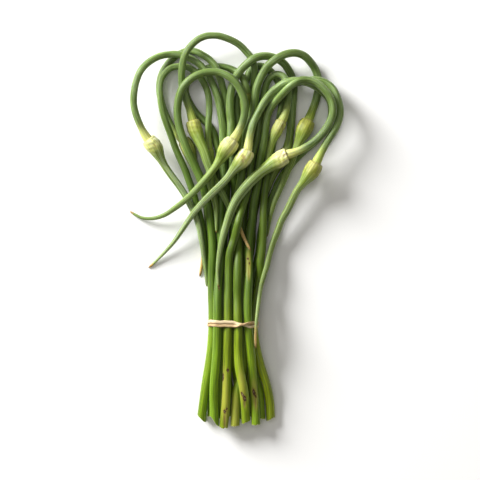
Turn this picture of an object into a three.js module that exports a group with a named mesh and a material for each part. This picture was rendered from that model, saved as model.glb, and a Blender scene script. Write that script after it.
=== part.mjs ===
// A tied bunch of garlic scapes, lying on a table.
//
// Millimetres, +Z up, +X to the right and +Y from the cut ends towards the curled tops.
// Each scape grew as one piece and is one mesh: a straight lathed scape, with its cut stem,
// its neck, its flower bulb and its long beak, bent along the route that it takes through
// the bunch. The routes are chosen by hand. Where two of them come too close, they are eased
// apart, as the stems of a real bunch push each other aside. A band ties the stems together.

import * as THREE from 'three';
import { mergeVertices } from 'three/addons/utils/BufferGeometryUtils.js';

// Driving dimensions of a scape
const STEM_RADIUS = 3.6;
const COLLAR_RADIUS = 3.2;
const COLLAR_LENGTH = 9;
const THINNING_END = 75;
const CUT_BEVEL = 0.35;
const BEAK_TIP_RADIUS = 0.75;
const BEAK_TAPER_POWER = 1.6;
const TIP_POINT_LENGTH = 2;

// The bulb's shape: the distance past the neck, and how full it is there, from 0, as thick as
// the beak's start, to 1, its widest
const BULB_SHAPE = [
  [0.9, 0.45],
  [2.4, 0.8],
  [4.6, 0.97],
  [7, 1],
  [10, 0.9],
  [13, 0.67],
  [16, 0.4],
  [20, 0.15],
];
const BULB_LENGTH = 25;

// Rings and sides of the lathed scape
const SIDES = 8;
const BUNDLE_RING_STEP = 15;
const LOOP_RING_STEP = 7;
const BEAK_RING_STEP = 9.5;
const BUNDLE_LENGTH = 130;

// How the scapes make room for each other
const GAP = 0.7;
const SAMPLE_STEP = 3;
const ROUTE_DIVISIONS = 1000;
const EASE_ROUNDS = 400;
const NEIGHBOUR_ROUNDS = 10;
const NEIGHBOUR_MARGIN = 4;
const PUSH_REACH = 4;
const PUSH_GAIN = 1.6;
const LARGEST_PUSH = 0.8;
const SIDEWAYS_SHARE = 0.5;
const SIDEWAYS_LIMIT = 2.4;
const OWN_NEIGHBOUR_LENGTH = 30;
const SINK_PER_ROUND = 0.004;
const TABLE_PRESS = 0.1;

// The band that ties the bunch
const TIE_Y = -74.5;
const TIE_WIDTH = 5.2;
const TIE_THICKNESS = 0.9;
const TIE_GAP = 0.6;
const TIE_FLAT = 0.12;
const TIE_LIFT_HALF_LENGTH = 13;
const TIE_OUTLINE_STEPS = 40;
const TIE_TWIST_X = 4;
const TIE_TWIST_HALF_LENGTH = 3;
const TIE_TWIST_PINCH = 0.55;

// A stem rests on one flat side, whose distance from the stem's middle is this share of its radius
const FLAT_SIDE_SHARE = Math.cos(Math.PI / SIDES);

// Colours by where a scape shows in the bunch, and how matt the surfaces are
const FRONT_GREEN = 0x86a84a;
const MIDDLE_GREEN = 0x6f9440;
const BACK_GREEN = 0x55762f;
const TIE_COLOUR = 0xe6c79c;
const SCAPE_ROUGHNESS = 0.5;
const TIE_ROUGHNESS = 0.7;

// The scapes: the radii of the loop, of the bulb at its widest and of the beak where it starts,
// and how far the cut runs out to one side, for each millimetre across.
// The routes: [x, y, height of the middle], from the cut end to the neck, then to the beak's tip
const SCAPES = [
  {
    name: 'scape_left_front',
    colour: FRONT_GREEN,
    loop: 3.1,
    bulb: 7.2,
    beak: 3,
    slant: -1,
    stem: [
      [-25.8, -150.7, 4], [-24, -135.5, 6], [-21.3, -111.5, 9], [-18.8, -91.5, 11.3],
      [-18.3, -74, 12], [-18.2, -55.5, 11.3], [-18.7, -39.5, 10.8], [-19.3, -23.5, 10.5],
      [-20, -7.5, 10.5], [-21.6, 10, 11.5], [-24, 26, 13], [-28, 39, 14.5], [-32, 48.5, 15],
      [-37.3, 59.5, 16.4], [-42, 71, 16], [-46, 83, 15], [-47.5, 94, 14.5], [-46.6, 104.5, 15.5],
      [-43.5, 113.5, 17], [-36, 121.5, 18], [-27, 125.5, 18], [-18, 126.5, 17.5],
      [-9.5, 124.5, 17.5], [-1.5, 119, 18], [3.2, 111.5, 19], [6.4, 101, 20], [6.2, 93, 19.5],
      [4.4, 85.5, 19], [0.6, 77.5, 19], [-2.8, 71, 19.5],
    ],
    flower: [
      [-7.5, 64.5, 20.8], [-13.5, 56, 22.5], [-20.3, 46, 23.8], [-29, 36, 22], [-39, 26, 18],
      [-48, 19, 13], [-59, 12, 9], [-70, 9.5, 6], [-78.5, 11, 4], [-86, 15.5, 2.5],
    ],
  },
  {
    name: 'scape_left_outer',
    colour: MIDDLE_GREEN,
    loop: 2.8,
    bulb: 6.8,
    beak: 3,
    slant: -1.5,
    stem: [
      [-17.3, -152.5, 10.5], [-16.5, -123.5, 13.5], [-15.8, -91.5, 17.5], [-15.2, -74, 19],
      [-15, -55.5, 16], [-14, -35.5, 13.5], [-13.5, -15.5, 11], [-13, 4.5, 10],
      [-12.5, 20.5, 9.7], [-12.5, 32.5, 9.6], [-11.5, 47, 9.5], [-10, 60.5, 9.5],
      [-11, 72.5, 9.5], [-11, 82, 9.5], [-12.5, 94, 9.5], [-14.5, 105, 10], [-18, 114, 10],
      [-22, 122, 10.5], [-27, 130, 10.5], [-32.5, 135, 10], [-39, 138.5, 9.5], [-46, 141, 9.5],
      [-53.5, 141, 10], [-61.5, 139.5, 12.5], [-69.5, 135, 15.5], [-76, 128.5, 18],
      [-80, 119.5, 19.5], [-82, 109, 20], [-82, 99, 19.5], [-79, 88.5, 18], [-75, 79.5, 16.5],
      [-71, 73, 15.5],
    ],
    flower: [
      [-65.5, 67, 14.5], [-61.5, 59, 13], [-56, 49, 11], [-48.5, 39, 10.3], [-41.5, 28.5, 10],
      [-36.2, 18, 11.5], [-31.8, 8.4, 12.5], [-29.8, 0.4, 12.5], [-28.2, -7.6, 12.2],
      [-26.8, -15.6, 11.8], [-25.6, -25, 11.3], [-24.4, -35, 11], [-22.9, -45, 10.5],
    ],
  },
  {
    name: 'scape_left_inner',
    colour: MIDDLE_GREEN,
    loop: 2.6,
    bulb: 4.6,
    beak: 2.8,
    slant: 0.2,
    stem: [
      [-19, -149, 3.7], [-18, -123.5, 4], [-15.8, -91.5, 4.8], [-14.6, -74, 5.2],
      [-17, -55.5, 5.5], [-21, -39.5, 6.5], [-24, -22, 7], [-25.8, -7.6, 7.3],
      [-27.2, 0.4, 7.3], [-29.1, 8.4, 7.3], [-31.5, 17, 7.3], [-35.8, 32.4, 7.5],
      [-38.8, 41, 8], [-41.5, 48.6, 8.5], [-44.7, 56.6, 9], [-48.3, 65, 9.7], [-51.4, 72.6, 12],
      [-54.4, 80.6, 14], [-57.3, 88.6, 15.8], [-59.6, 97, 16.8], [-61.2, 108.5, 16.3],
      [-61.4, 118, 14.3], [-57.5, 126, 11.3], [-52, 130.5, 9.8], [-44.5, 131.5, 9.3], [-37.5, 130, 9.5],
      [-32, 126, 10], [-27, 119.5, 10], [-23.5, 111.5, 9.8], [-22.2, 102, 9.8],
      [-22.2, 92.5, 9.8], [-22.8, 83, 8.8], [-23, 74, 7], [-22.8, 66, 5.5],
    ],
    flower: [
      [-22, 58.5, 4.8], [-21, 52, 5.3], [-19.2, 46.5, 6.5], [-16, 39.5, 9.5],
      [-12.4, 31, 14.8], [-8.8, 23.5, 15.5], [-4.6, 15.5, 15],
      [-0.5, 8, 14.7], [2.5, 2, 14.8], [6.5, -7.5, 15.3], [11.2, -16.2, 15.8],
    ],
  },
  {
    name: 'scape_top_left',
    colour: FRONT_GREEN,
    loop: 2.8,
    bulb: 6.3,
    beak: 4,
    slant: 0.2,
    stem: [
      [-1.6, -156.5, 10.5], [1.5, -127.5, 11], [4, -95.5, 12], [4.9, -74, 12], [4.5, -51.5, 10],
      [4.5, -31.5, 7], [4.5, -11.5, 4], [5, 8.5, 3.5], [8, 28.5, 3.5], [11.5, 48.5, 3.5],
      [14, 68.5, 3.3], [14.5, 84.5, 3], [14, 96.5, 3], [13, 106, 4], [13, 114, 6], [14, 122, 8],
      [13.8, 129.5, 9.3], [11.8, 137, 10], [7, 143.5, 11.5], [1, 149.3, 13.5],
      [-5.4, 152.4, 15.5], [-13, 155, 17], [-20, 155.7, 18], [-28, 154, 18], [-35, 149, 17.5],
      [-40, 143, 17], [-43, 135, 16.3], [-44, 126, 14.5], [-44, 117, 11.5],
      [-42, 108.5, 9.8], [-39, 100.4, 9], [-36.8, 94, 8.7], [-35, 88, 8.7],
    ],
    flower: [
      [-33, 81, 9.5], [-29.7, 71.5, 11.8], [-26.4, 64, 13.3], [-24, 56.4, 14.8],
      [-21.4, 49.5, 16], [-19.5, 40.5, 17], [-17.4, 30.8, 16.5], [-16.6, 22, 15.5],
      [-16, 14, 14.5], [-15.7, 5, 13.8], [-15.8, -2, 13.3],
    ],
  },
  {
    name: 'scape_left_back',
    colour: BACK_GREEN,
    loop: 2.8,
    bulb: 6.1,
    beak: 3.5,
    slant: -0.3,
    stem: [
      [-12, -150, 3.7], [-12, -123.5, 5], [-11.3, -95.5, 9], [-10.5, -74, 12],
      [-10.5, -47.5, 9.5], [-10, -25, 5.5], [-9.5, -3.5, 3.5], [-8.5, 20.5, 3.3],
      [-7.5, 40.5, 3.3], [-7.5, 56.5, 3.3], [-7.5, 72.5, 3.6], [-8, 88.5, 5], [-9, 100.5, 7],
      [-10, 108.5, 8], [-10.5, 114, 9], [-13.5, 121, 10], [-16.5, 130, 10], [-21.5, 136.5, 9],
      [-28, 141, 7.5], [-35, 144, 6], [-42, 143.5, 5], [-49.5, 139.5, 4], [-56, 133, 3.5],
      [-60.5, 125, 3], [-62.2, 115.5, 3], [-61.2, 106.5, 3], [-58.7, 97, 3], [-55, 88.5, 3.2],
      [-50.6, 80.6, 4], [-46.4, 75.6, 5], [-42.8, 71.6, 5.8],
    ],
    flower: [
      [-39.6, 65.2, 6.2], [-36.1, 56.4, 6], [-32.3, 48.5, 5.5], [-28.2, 38, 5], [-25.2, 27, 4.5],
      [-24, 12.5, 3.5], [-24.5, -3.5, 2.5], [-26, -17, 2], [-28, -29, 1.8], [-30, -37, 1.5],
    ],
  },
  {
    name: 'scape_small_back',
    colour: BACK_GREEN,
    loop: 2.8,
    bulb: 4.6,
    beak: 2.6,
    slant: 0.2,
    stem: [
      [-4.5, -149, 3.7], [-6, -123.5, 4], [-7, -95.5, 4.8], [-6.6, -74, 5.2], [-11, -47.5, 3.7],
      [-16, -25, 3.6], [-16.5, -3.5, 3.4], [-15.5, 16.5, 3.3], [-14, 36.5, 3.2],
      [-13.2, 47, 3.2], [-13.4, 56, 3], [-15, 64.5, 3], [-17.2, 72, 3], [-19.2, 80, 3],
      [-23.6, 85.4, 3], [-28.4, 89.7, 3], [-33.3, 94.7, 3], [-36.9, 100.7, 3],
      [-40.1, 107.4, 3], [-41.3, 113, 3], [-39.8, 119, 3], [-34.5, 124.4, 3], [-28, 128.6, 3],
      [-19.8, 131.2, 3], [-12.6, 131.6, 3], [-7, 130.4, 3.5], [-1.4, 128, 4.5], [2.8, 124.4, 6],
      [5.8, 119.6, 7.5], [7.6, 114.8, 8.6], [8.4, 109.6, 9.3],
    ],
    flower: [
      [7.6, 103.6, 9.8], [7.5, 94, 9], [8, 82, 8], [8.5, 69.5, 7.5], [7.5, 57, 7],
      [6.5, 44.5, 6.5],
    ],
  },
  {
    name: 'scape_middle_tall',
    colour: MIDDLE_GREEN,
    loop: 3.2,
    bulb: 4.8,
    beak: 2.7,
    slant: -0.2,
    stem: [
      [2.5, -151, 3.7], [0, -123.5, 5], [-2, -95.5, 10.4], [-2.8, -74, 12.2], [-4, -51.5, 10],
      [-4.5, -31.5, 7], [-3.5, -11.5, 4.5], [-2.5, 8.5, 3.6], [-2.5, 24.5, 4.5], [-3, 40.5, 7],
      [-3, 56.5, 10], [-3, 70, 11.5], [-4.5, 85, 11], [-5.8, 95, 11], [-5.8, 104.5, 11],
      [-4.8, 112.4, 10.6], [-2, 118.8, 10.6], [1.8, 124.6, 11], [6.2, 130.8, 12.8],
      [11.4, 135.8, 15], [17, 138.6, 15.3], [23.4, 139.4, 13.3], [29.5, 138.5, 11.5],
      [37.5, 134, 8.5], [42, 127.5, 5.5], [44.4, 120.4, 3.5], [45, 110, 3.2], [44.8, 101, 3.3],
      [44, 90, 3.6], [42.8, 79, 4.2], [41.6, 70.5, 4.6], [39.6, 64, 5],
    ],
    flower: [
      [36, 58, 5.2], [31.6, 50.5, 4.6], [28.6, 44.5, 3.8], [26.2, 37.5, 3], [23.6, 29, 2.4],
      [20.8, 20, 2], [19, 12, 1.8],
    ],
  },
  {
    name: 'scape_middle_small',
    colour: MIDDLE_GREEN,
    loop: 2.8,
    bulb: 4.9,
    beak: 2.8,
    slant: 0.1,
    stem: [
      [-11, -158, 11], [-9.5, -123.5, 14], [-8, -91.5, 18], [-7.5, -74, 19.3], [-7.5, -63.5, 19],
      [-7, -43.5, 17], [-5.5, -25, 16.5], [-2, -7.5, 18], [1.5, 8.5, 19.3], [4, 20.5, 17.5],
      [8, 32.5, 14.5], [10.5, 48.5, 12], [14, 64.5, 10], [17, 76.5, 9.7], [18.5, 88.5, 9.5],
      [20, 100.5, 9.8], [22, 111, 10.5], [24, 119, 11.5], [28, 123.5, 12], [33, 125, 12.5],
      [38, 123, 12.8], [40.5, 117, 13.6], [41.6, 111, 13.6], [41, 104.5, 13], [39.7, 97, 12.2],
      [37.8, 91, 11.7], [35.8, 87, 11.4],
    ],
    flower: [
      [32.2, 80.4, 11], [28.2, 73, 10.2], [25.2, 64.5, 10], [23.4, 56, 10.5], [22.2, 48, 11],
    ],
  },
  {
    name: 'scape_middle_back',
    colour: BACK_GREEN,
    loop: 2.8,
    bulb: 5.3,
    beak: 2.8,
    slant: 0.5,
    stem: [
      [26.2, -151.5, 3.9], [24.2, -135.5, 5], [20.2, -119.5, 6.5], [16.6, -103.5, 8.5],
      [14.1, -87.5, 11], [12.7, -74, 12.2], [14.8, -55.5, 10], [17.5, -39.5, 8.5],
      [19.5, -19.5, 9.5], [21, 0.5, 10], [22, 24.5, 9], [23.5, 36.5, 7], [25, 50, 5],
      [27.5, 64.5, 3], [30.5, 76.5, 3], [33.8, 88.5, 3], [35.9, 100.4, 3], [35.9, 108, 3],
      [34.6, 115, 3], [32.2, 121, 3], [29, 126, 3], [25, 129.8, 3], [20.2, 132, 3],
      [14.8, 132, 3], [10.6, 129.2, 3], [7, 122.8, 3], [4.6, 115.6, 3.2], [1.8, 107.6, 4],
      [0.5, 96.5, 5], [1, 87, 5.5], [1.5, 80.5, 5.5],
    ],
    flower: [
      [3, 71.5, 5.6], [4.5, 62, 5], [4.5, 50, 4], [3.5, 38, 3.5], [2, 26, 3],
    ],
  },
  {
    name: 'scape_top_right',
    colour: FRONT_GREEN,
    loop: 3.2,
    bulb: 6.9,
    beak: 3,
    slant: 0.4,
    stem: [
      [7.6, -153.3, 11], [4.5, -127.5, 15], [1.5, -103.5, 18], [0.5, -74, 19.3],
      [0.2, -63.5, 19], [0, -39.5, 17], [0.5, -23.5, 13.5], [1, 0.5, 10.3], [0, 20.5, 10],
      [2.5, 40.5, 10], [5, 59, 10.3], [7.5, 76.5, 10.5], [10.5, 90, 10.5], [12, 99, 11.5],
      [14.5, 111.5, 13], [19, 121.5, 14.5], [23.5, 130, 16], [29.5, 135.5, 17.3],
      [37, 140, 16.5], [46, 142, 14], [53.5, 140, 11], [59, 135, 8], [62.5, 130, 5.5],
      [64.5, 124.5, 4], [65.5, 118, 3.2], [65, 111.5, 3], [63, 103, 3], [60.2, 95.5, 3.8],
      [57, 87.5, 5.5],
    ],
    flower: [
      [54.2, 81.6, 7.2], [49.5, 70.5, 8.5], [46, 60.5, 9.3], [42.5, 52.5, 9], [38, 42, 9],
      [34, 32.5, 9], [30.5, 24.5, 9], [27.6, 15, 8.6], [25.8, 7, 7], [24.7, -1, 5],
      [24.2, -5, 4.2],
    ],
  },
  {
    name: 'scape_middle_front',
    colour: FRONT_GREEN,
    loop: 3.1,
    bulb: 7,
    beak: 3,
    slant: -0.2,
    stem: [
      [19.5, -151, 3.7], [14.5, -111.5, 4], [10.5, -87.5, 5], [9.2, -74, 5.4], [9, -55.5, 4.2],
      [11.5, -39.5, 3.8], [15.5, -19.5, 3.6], [20, 0.5, 3.5], [25, 16.5, 3.5], [29, 28.5, 3.5],
      [34.5, 42, 3.5], [42.5, 53, 3.5], [53, 63.5, 3.3], [61, 70, 3.2], [68, 77, 3],
      [73.5, 84.5, 3], [76, 92.5, 3], [76, 99.5, 4], [74, 106, 7], [69, 112.5, 10.5],
      [61.5, 116.8, 14.5], [53, 118.8, 18.3], [48, 119, 19.6], [41, 117, 20], [34, 112.8, 19.5],
      [27.5, 107.8, 18.2], [22, 101, 17], [17.5, 95, 16.5], [13, 87, 17], [10.5, 76.5, 18.5],
      [9, 69, 19.5], [7.6, 63.4, 20.3],
    ],
    flower: [
      [3, 57, 21.5], [-2.3, 49, 22.3], [-8.5, 40.5, 23], [-21.5, 28, 22.3], [-31.5, 17.5, 19],
      [-41, 4.5, 13], [-50, -8.5, 8], [-58, -17.5, 5], [-65.5, -25, 3], [-71, -30, 2],
    ],
  },
  {
    name: 'scape_right_front',
    colour: FRONT_GREEN,
    loop: 3,
    bulb: 7.1,
    beak: 4.2,
    slant: 0.1,
    stem: [
      [15, -155.5, 10.5], [14, -135.5, 12], [11.5, -111.5, 14.5], [9.2, -83.5, 17.8],
      [8.6, -74, 18.8], [8.2, -63.5, 18], [8, -43.5, 15], [9, -25, 12.5], [10, -7.5, 11.2],
      [12, 8.5, 10.8], [14, 24.5, 10.4], [16, 36.5, 10], [19.5, 56, 10.8], [22.3, 72.5, 13],
      [23.6, 88.5, 13.5], [27.3, 100, 15], [33.3, 107.6, 19.5], [40, 113.8, 25],
      [46.5, 117.8, 27.2], [53, 119.8, 26], [61.5, 118, 24.5], [69.5, 112, 24], [74.5, 105, 24],
      [76.5, 98, 24], [76, 90, 23.5], [73, 84.5, 22.8], [68, 77, 21.8], [60.5, 70, 20.8],
      [52.5, 65, 19.8], [45.5, 62, 18.8], [40, 60.5, 17.8],
    ],
    flower: [
      [34, 57, 16.5], [25, 51, 17.5], [16, 44, 18], [7, 34, 19], [0.5, 25, 20], [-4, 16.5, 20],
      [-8.5, 3.5, 19], [-12, -8.5, 18.5], [-14, -20.5, 18], [-15, -31.5, 18], [-14.5, -45, 18.5],
    ],
  },
  {
    name: 'scape_right_outer',
    colour: MIDDLE_GREEN,
    loop: 3,
    bulb: 7,
    beak: 3,
    slant: 0.3,
    stem: [
      [10.5, -149, 3.7], [7.5, -123.5, 4], [3.6, -95.5, 4.8], [1.3, -74, 5.2], [2, -51.5, 4],
      [6, -31.5, 3.6], [10, -11.5, 3.4], [12.5, 8.5, 3.4], [15.5, 24.5, 3.4], [18.5, 40.5, 3.3],
      [20.5, 58, 3.2], [22, 72.5, 3.2], [22.5, 84.5, 3.3], [25, 96.5, 4.5], [30, 106, 7],
      [35.5, 112.3, 8.8], [41, 116.3, 7.5], [47.5, 118.2, 8], [55.5, 119.7, 9],
      [61.5, 120, 9.5], [70.5, 117.2, 10.8], [77.2, 112, 13.5], [81, 103.5, 17], [82.5, 95, 19.5],
      [80, 84.5, 20.5], [74, 74, 20.5], [68, 63.5, 20], [62.8, 53.2, 19],
    ],
    flower: [
      [58.7, 46.5, 18], [52.5, 37.6, 16.5], [47.8, 31.5, 15.5], [44.3, 24.5, 14.5],
      [40.5, 16.5, 13.5], [36, 8.5, 12.5], [33, 0.5, 11.7], [29.8, -7.5, 10.2], [27, -15.5, 10.8],
      [24.2, -23.5, 11.5], [21.9, -31.5, 12.5], [20, -39.5, 13.8], [18.6, -47.5, 15.5],
      [17.6, -55.5, 18.5], [16.6, -63.5, 21], [15.6, -71.5, 22.6], [15, -78, 22.8],
      [14.5, -84, 21.5], [13.6, -94, 18.5],
    ],
  },
];

// The radius of a scape at a distance from its cut end
function radiusAt(scape, distance) {
  const pastNeck = distance - scape.neckAt;
  if (pastNeck <= 0) {
    const thinning = THREE.MathUtils.smoothstep(distance, 0, scape.neckAt - THINNING_END);
    const flare = THREE.MathUtils.smoothstep(pastNeck, -COLLAR_LENGTH, 0);
    const stem = THREE.MathUtils.lerp(STEM_RADIUS, scape.loop, thinning);
    return THREE.MathUtils.lerp(stem, COLLAR_RADIUS, flare);
  }
  const corners = [[0, COLLAR_RADIUS]];
  for (const [along, fullness] of BULB_SHAPE) {
    corners.push([along, THREE.MathUtils.lerp(scape.beak, scape.bulb, fullness)]);
  }
  corners.push([BULB_LENGTH, scape.beak]);
  for (let index = 1; index < corners.length; index += 1) {
    const [start, startRadius] = corners[index - 1];
    const [end, endRadius] = corners[index];
    if (pastNeck <= end) {
      return THREE.MathUtils.mapLinear(pastNeck, start, end, startRadius, endRadius);
    }
  }
  const along = (pastNeck - BULB_LENGTH) / (scape.length - scape.neckAt - BULB_LENGTH);
  const fullness = 1 - Math.min(1, along) ** BEAK_TAPER_POWER;
  return THREE.MathUtils.lerp(BEAK_TIP_RADIUS, scape.beak, fullness);
}

// Evenly spaced points along a route, with the radius at each
function sampleRoute(scape) {
  const toVector = ([x, y, z]) => new THREE.Vector3(x, y, z);
  const stemPoints = scape.stem.map(toVector);
  const flowerPoints = scape.flower.map(toVector);
  const stemCurve = new THREE.CatmullRomCurve3(stemPoints);
  const wholeCurve = new THREE.CatmullRomCurve3([...stemPoints, ...flowerPoints]);
  wholeCurve.arcLengthDivisions = ROUTE_DIVISIONS;
  stemCurve.arcLengthDivisions = ROUTE_DIVISIONS;
  scape.neckAt = stemCurve.getLength();
  scape.length = wholeCurve.getLength();
  const count = Math.round(scape.length / SAMPLE_STEP);
  scape.points = wholeCurve.getSpacedPoints(count);
  scape.home = scape.points.map((point) => point.clone());
  scape.distances = scape.points.map((point, index) => index * scape.length / count);
  scape.radii = scape.distances.map((distance) => radiusAt(scape, distance));
  scape.isBeak = scape.distances.map((distance) => distance > scape.neckAt + BULB_LENGTH);
}

function isWithinTie(point, halfLength) {
  return Math.abs(point.y - TIE_Y) < halfLength;
}

// The pairs of points, on two scapes or far apart on one, that are near enough to meet
function findNeighbours(scapes) {
  const pairs = [];
  scapes.forEach((one, oneIndex) => {
    scapes.slice(oneIndex).forEach((other) => {
      one.points.forEach((point, index) => {
        const reach = one.radii[index] + GAP + NEIGHBOUR_MARGIN;
        const first = one === other ? index + Math.round(OWN_NEIGHBOUR_LENGTH / SAMPLE_STEP) : 0;
        for (let next = first; next < other.points.length; next += 1) {
          const far = reach + other.radii[next];
          if (point.distanceToSquared(other.points[next]) < far * far) {
            pairs.push({ one, index, other, next });
          }
        }
      });
    });
  });
  return pairs;
}

// One round: each pair that is too close, and each point under the table, gives a push
function collectPushes(scapes, pairs) {
  for (const scape of scapes) {
    scape.pushes = scape.points.map(() => new THREE.Vector3());
  }
  const away = new THREE.Vector3();
  for (const { one, index, other, next } of pairs) {
    const point = one.points[index];
    const nextPoint = other.points[next];
    away.subVectors(point, nextPoint);
    const distance = away.length();
    let room = one.radii[index] + other.radii[next] + GAP;
    if (one.isBeak[index] !== other.isBeak[next] && isWithinTie(point, TIE_WIDTH)) {
      room += TIE_GAP + TIE_THICKNESS;
    }
    if (distance < room) {
      away.multiplyScalar((room - distance) / (2 * distance));
      away.x *= SIDEWAYS_SHARE;
      away.y *= SIDEWAYS_SHARE;
      one.pushes[index].add(away);
      other.pushes[next].sub(away);
    }
  }
}

function lowestMiddle(scape, index) {
  const table = FLAT_SIDE_SHARE * scape.radii[index] - TABLE_PRESS;
  const onTie = scape.radii[index] + TIE_GAP + TIE_THICKNESS - TIE_FLAT;
  return isWithinTie(scape.points[index], TIE_LIFT_HALF_LENGTH) ? onTie : table;
}

// A push also moves the points near it, so that the stem bends softly and never kinks.
// Each round also lets the scapes sink a little, until they lie on each other or on the table.
function applyPushes(scape) {
  const last = scape.points.length - 1;
  scape.points.forEach((point, index) => {
    const move = new THREE.Vector3();
    let total = 0;
    for (let offset = -PUSH_REACH; offset <= PUSH_REACH; offset += 1) {
      const from = THREE.MathUtils.clamp(index + offset, 0, last);
      const weight = 1 + Math.cos(Math.PI * offset / (PUSH_REACH + 1));
      move.addScaledVector(scape.pushes[from], weight);
      total += weight;
    }
    move.multiplyScalar(PUSH_GAIN / total).clampLength(0, LARGEST_PUSH);
    point.add(move);
    point.z -= SINK_PER_ROUND;
    const aside = new THREE.Vector3().subVectors(point, scape.home[index]);
    aside.z = 0;
    if (aside.length() > SIDEWAYS_LIMIT) {
      aside.setLength(SIDEWAYS_LIMIT);
      point.x = scape.home[index].x + aside.x;
      point.y = scape.home[index].y + aside.y;
    }
  });
}

function raiseToTable(scape) {
  scape.points.forEach((point, index) => {
    const depth = lowestMiddle(scape, index) - point.z;
    if (depth > 0) {
      scape.pushes[index].z += depth;
    }
  });
}

function easeApart(scapes) {
  let pairs = [];
  for (let round = 0; round < EASE_ROUNDS; round += 1) {
    if (round % NEIGHBOUR_ROUNDS === 0) {
      pairs = findNeighbours(scapes);
    }
    collectPushes(scapes, pairs);
    for (const scape of scapes) {
      raiseToTable(scape);
      applyPushes(scape);
    }
  }
}

// The straight scape's outline, from the middle of the cut face to the tip of the beak
function scapeProfile(scape) {
  const rings = [CUT_BEVEL];
  const addRings = (from, to, step) => {
    const count = Math.max(1, Math.round((to - from) / step));
    for (let index = 1; index <= count; index += 1) {
      rings.push(from + (to - from) * index / count);
    }
  };
  addRings(0, BUNDLE_LENGTH, BUNDLE_RING_STEP);
  addRings(BUNDLE_LENGTH, scape.neckAt - COLLAR_LENGTH, LOOP_RING_STEP);
  rings.push(scape.neckAt - COLLAR_LENGTH / 2, scape.neckAt);
  for (const [along] of BULB_SHAPE) {
    rings.push(scape.neckAt + along);
  }
  rings.push(scape.neckAt + BULB_LENGTH);
  addRings(scape.neckAt + BULB_LENGTH, scape.length - TIP_POINT_LENGTH, BEAK_RING_STEP);
  const profile = [
    new THREE.Vector2(0, 0),
    new THREE.Vector2(radiusAt(scape, 0) - CUT_BEVEL, 0),
  ];
  for (const distance of rings) {
    profile.push(new THREE.Vector2(radiusAt(scape, distance), distance));
  }
  profile.push(new THREE.Vector2(0, scape.length));
  return profile;
}

// A lathed shape has a seam and two poles of equal points, which become one closed body here
function closeBody(geometry) {
  geometry.deleteAttribute('normal');
  geometry.deleteAttribute('uv');
  const merged = mergeVertices(geometry);
  const corners = merged.index.array;
  const kept = [];
  for (let index = 0; index < corners.length; index += 3) {
    const [a, b, c] = corners.slice(index, index + 3);
    if (a !== b && b !== c && c !== a) {
      kept.push(a, b, c);
    }
  }
  merged.setIndex(kept);
  return merged;
}

// Each point of the straight scape moves to its place around the route, with up kept up.
// The two rings of the cut end lean with the cut.
function bendAlong(geometry, scape) {
  const curve = new THREE.CatmullRomCurve3(scape.points);
  curve.arcLengthDivisions = ROUTE_DIVISIONS;
  const up = new THREE.Vector3(0, 0, 1);
  const positions = geometry.attributes.position;
  const rings = new Map();
  for (let index = 0; index < positions.count; index += 1) {
    const distance = positions.getY(index);
    if (!rings.has(distance)) {
      const share = THREE.MathUtils.clamp(distance / scape.length, 0, 1);
      const middle = curve.getPointAt(share);
      const forward = curve.getTangentAt(share);
      const side = new THREE.Vector3().crossVectors(forward, up).normalize();
      const over = new THREE.Vector3().crossVectors(side, forward);
      rings.set(distance, { middle, forward, side, over });
    }
    const { middle, forward, side, over } = rings.get(distance);
    const place = middle.clone();
    place.addScaledVector(side, positions.getX(index));
    place.addScaledVector(over, positions.getZ(index));
    if (distance <= CUT_BEVEL) {
      place.addScaledVector(forward, scape.slant * positions.getX(index));
    }
    positions.setXYZ(index, place.x, place.y, Math.max(0, place.z));
  }
}

function makeScape(scape) {
  const lathed = new THREE.LatheGeometry(scapeProfile(scape), SIDES, Math.PI / SIDES);
  const geometry = closeBody(lathed);
  bendAlong(geometry, scape);
  geometry.computeVertexNormals();
  const material = new THREE.MeshStandardMaterial({
    color: scape.colour,
    roughness: SCAPE_ROUGHNESS,
    metalness: 0,
  });
  const mesh = new THREE.Mesh(geometry, material);
  mesh.name = scape.name;
  return mesh;
}

// The outline of the tied stems, seen along them, grown by a distance
function tiedOutline(scapes, growth) {
  const circles = [];
  for (const scape of scapes) {
    scape.points.forEach((point, index) => {
      if (isWithinTie(point, TIE_WIDTH) && !scape.isBeak[index]) {
        circles.push({ x: point.x, z: point.z, radius: scape.radii[index] + growth });
      }
    });
  }
  const outline = [];
  for (let step = 0; step < TIE_OUTLINE_STEPS; step += 1) {
    const angle = 2 * Math.PI * step / TIE_OUTLINE_STEPS;
    const along = new THREE.Vector2(Math.cos(angle), Math.sin(angle));
    const reachOf = (circle) => circle.x * along.x + circle.z * along.y + circle.radius;
    const widest = circles.reduce((a, b) => (reachOf(b) > reachOf(a) ? b : a));
    const x = widest.x + widest.radius * along.x;
    const z = widest.z + widest.radius * along.y;
    outline.push(new THREE.Vector2(x, z));
  }
  return outline;
}

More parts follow.
